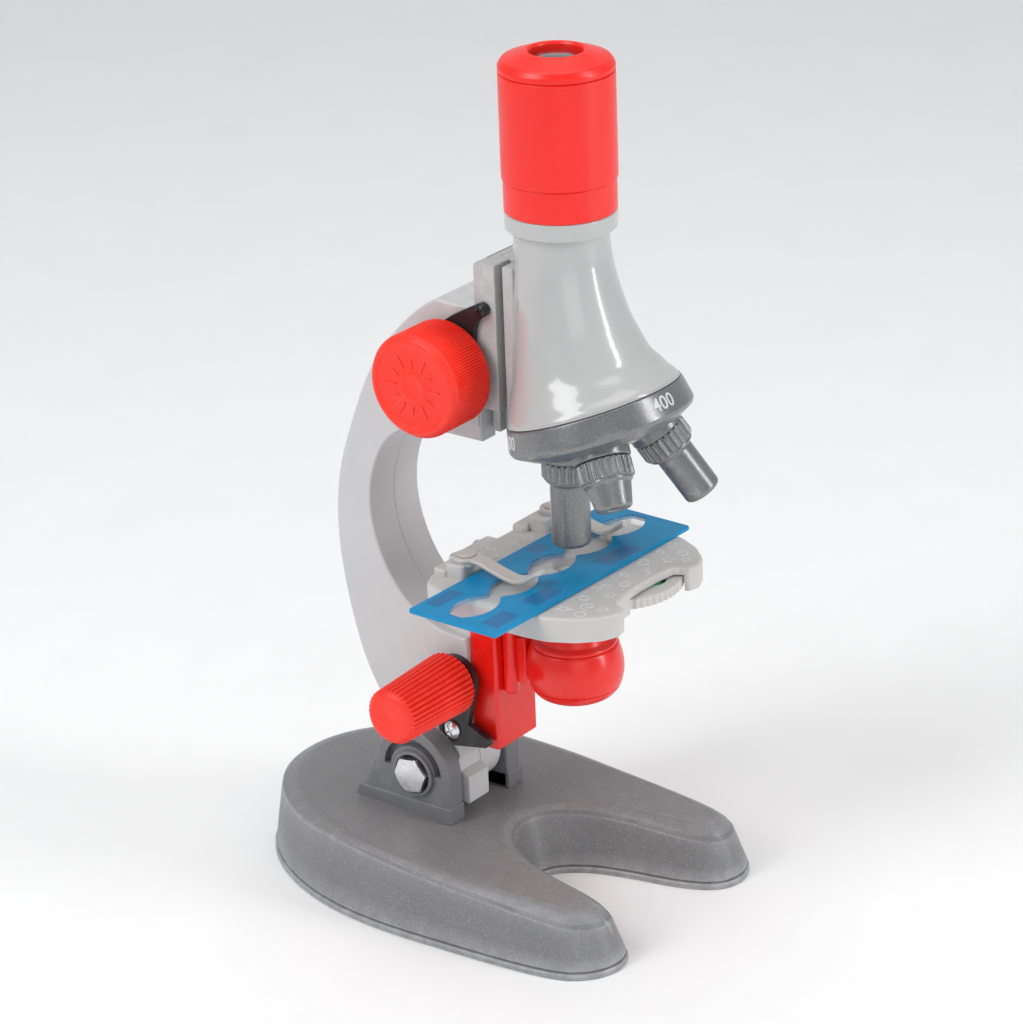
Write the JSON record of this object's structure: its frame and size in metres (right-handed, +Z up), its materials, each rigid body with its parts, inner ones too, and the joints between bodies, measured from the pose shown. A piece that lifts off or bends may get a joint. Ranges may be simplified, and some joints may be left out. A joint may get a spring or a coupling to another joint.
{
  "type": "toy microscope",
  "caption": "Child's upright microscope with a tilting arm on a horseshoe base, geared focus, objective turret, clipped stage, filter wheel and flip-over lamp.",
  "frame": {"origin": "on the resting plane, on the plane of symmetry, straight below the tilt hinge", "axes": "+X forward, the way the horseshoe opens and the stage stands out, +Y across the object, +Z up along the optical axis"},
  "size_m": [0.1212, 0.0849, 0.2183],
  "materials": {
    "base_grey": "fine speckled moulded grain",
    "arm_grey": "satin, slightly polished",
    "tube_grey": "glossy",
    "stage_grey": "satin with printed pattern",
    "clip_grey": "smooth satin",
    "turret_grey": "semi-gloss with fine metallic flake",
    "red_plastic": "semi-gloss moulded",
    "black_plastic": "satin",
    "gear_white": "waxy nylon",
    "steel": "zinc plated",
    "fibre_black": "matte fibre",
    "cable_black": "matte",
    "cell_sleeve": "printed sleeve, no markings",
    "contact_metal": "bright spring strip",
    "lens_glass": "polished",
    "led_lens": "water clear epoxy",
    "mirror": "polished",
    "film_red": "coloured film",
    "film_green": "coloured film",
    "film_blue": "coloured film",
    "film_yellow": "coloured film",
    "slide_blue": "smooth printed",
    "slide_clear": "polished"
  },
  "bodies": {
    "base": {"base_shell": "base_grey", "base_plate": "base_grey", "base_screws": "steel", "battery_door": "base_grey", "battery_door_screw": "steel", "battery_cells": "cell_sleeve", "battery_contacts": "contact_metal", "hinge_bolt": "steel", "hinge_nut": "steel", "hinge_washers": "fibre_black"},
    "arm": {"arm_near": "arm_grey", "arm_far": "arm_grey", "arm_screws": "steel", "focus_guide": "arm_grey", "focus_retainers": "black_plastic", "carriage_retainers": "black_plastic", "retainer_screws": "steel", "lamp_cable": "cable_black", "stage_plate": "stage_grey", "stage_screws": "steel", "clip_pins": "steel", "filter_pivot": "steel"},
    "tube": {"tube_barrel": "tube_grey", "focus_rack": "gear_white", "nosepiece_plate": "black_plastic", "turret_pivot_screw": "steel", "turret_spring_washer": "steel"},
    "eyepiece": {"eyepiece_drawtube": "black_plastic", "eyepiece_skirt": "red_plastic", "eyepiece_sleeve": "red_plastic", "eyepiece_cap": "red_plastic", "eye_lens": "lens_glass", "field_lens": "lens_glass"},
    "turret": {"turret_shell": "turret_grey", "objective_long": "turret_grey", "objective_medium": "turret_grey", "objective_short": "turret_grey", "objective_lenses": "lens_glass"},
    "focus_drive": {"focus_shaft": "steel", "focus_pinion": "gear_white", "focus_knobs": "red_plastic"},
    "carriage_drive": {"carriage_shaft": "steel", "carriage_pinion": "gear_white", "carriage_knobs": "red_plastic"},
    "lamp_carriage": {"carriage_block": "red_plastic", "lamp_pivot": "steel"},
    "lamp": {"lamp_bowl": "red_plastic", "lamp_lid": "red_plastic", "lamp_led": "led_lens", "lamp_mirror": "mirror"},
    "filters": {"filter_wheel": "stage_grey", "filter_red": "film_red", "filter_green": "film_green", "filter_blue": "film_blue", "filter_yellow": "film_yellow"},
    "near_clip": {"clip_near": "clip_grey"},
    "far_clip": {"clip_far": "clip_grey"},
    "slide": {"slide_frame": "slide_blue", "slide_windows": "slide_clear"}
  },
  "joints": [
    {"name": "tilt", "type": "hinge", "parent": "base", "child": "arm", "pos_m": [0, 0, 0.029], "axis": [0, -1, 0], "range_deg": [0, 45]},
    {"name": "focus_slide", "type": "slide", "parent": "arm", "child": "tube", "axis": [0, 0, 1], "range_m": [-0.0015, 0.01]},
    {"name": "focus_knob_spin", "type": "hinge", "parent": "arm", "child": "focus_drive", "pos_m": [0.0144, 0, 0.1382], "axis": [0, -1, 0], "range_deg": [-15, 96]},
    {"name": "carriage_slide", "type": "slide", "parent": "arm", "child": "lamp_carriage", "axis": [0, 0, 1], "range_m": [-0.012, 0]},
    {"name": "carriage_knob_spin", "type": "hinge", "parent": "arm", "child": "carriage_drive", "pos_m": [0.0113, 0, 0.056], "axis": [0, -1, 0], "range_deg": [-115, 0.5]},
    {"name": "lamp_flip", "type": "hinge", "parent": "lamp_carriage", "child": "lamp", "pos_m": [0.04, 0, 0.0625], "axis": [1, 0, 0], "range_deg": [0, 180]},
    {"name": "turret_spin", "type": "hinge", "parent": "tube", "child": "turret", "pos_m": [0.04, 0, 0.155], "axis": [0.342, 0, -0.9397], "continuous": true},
    {"name": "eyepiece_lift", "type": "slide", "parent": "tube", "child": "eyepiece", "axis": [0, 0, 1], "range_m": [0, 0.014]},
    {"name": "filter_spin", "type": "hinge", "parent": "arm", "child": "filters", "pos_m": [0.0475, 0.0066, 0.085], "axis": [0, 0, 1], "continuous": true},
    {"name": "clip_near_swing", "type": "hinge", "parent": "arm", "child": "near_clip", "pos_m": [0.0216, -0.0174, 0.0935], "axis": [0, 0, 1], "range_deg": [-35, 10]},
    {"name": "clip_far_swing", "type": "hinge", "parent": "arm", "child": "far_clip", "pos_m": [0.0216, 0.0174, 0.0935], "axis": [0, 0, 1], "range_deg": [-10, 35]},
    {"name": "slide_shift", "type": "slide", "parent": "arm", "child": "slide", "axis": [0, 1, 0], "range_m": [-0.015, 0.02]}
  ],
  "couplings": [
    {"joint": "focus_knob_spin", "follows": "focus_slide", "rad_per_m": 166.67},
    {"joint": "carriage_knob_spin", "follows": "carriage_slide", "rad_per_m": 166.67}
  ]
}
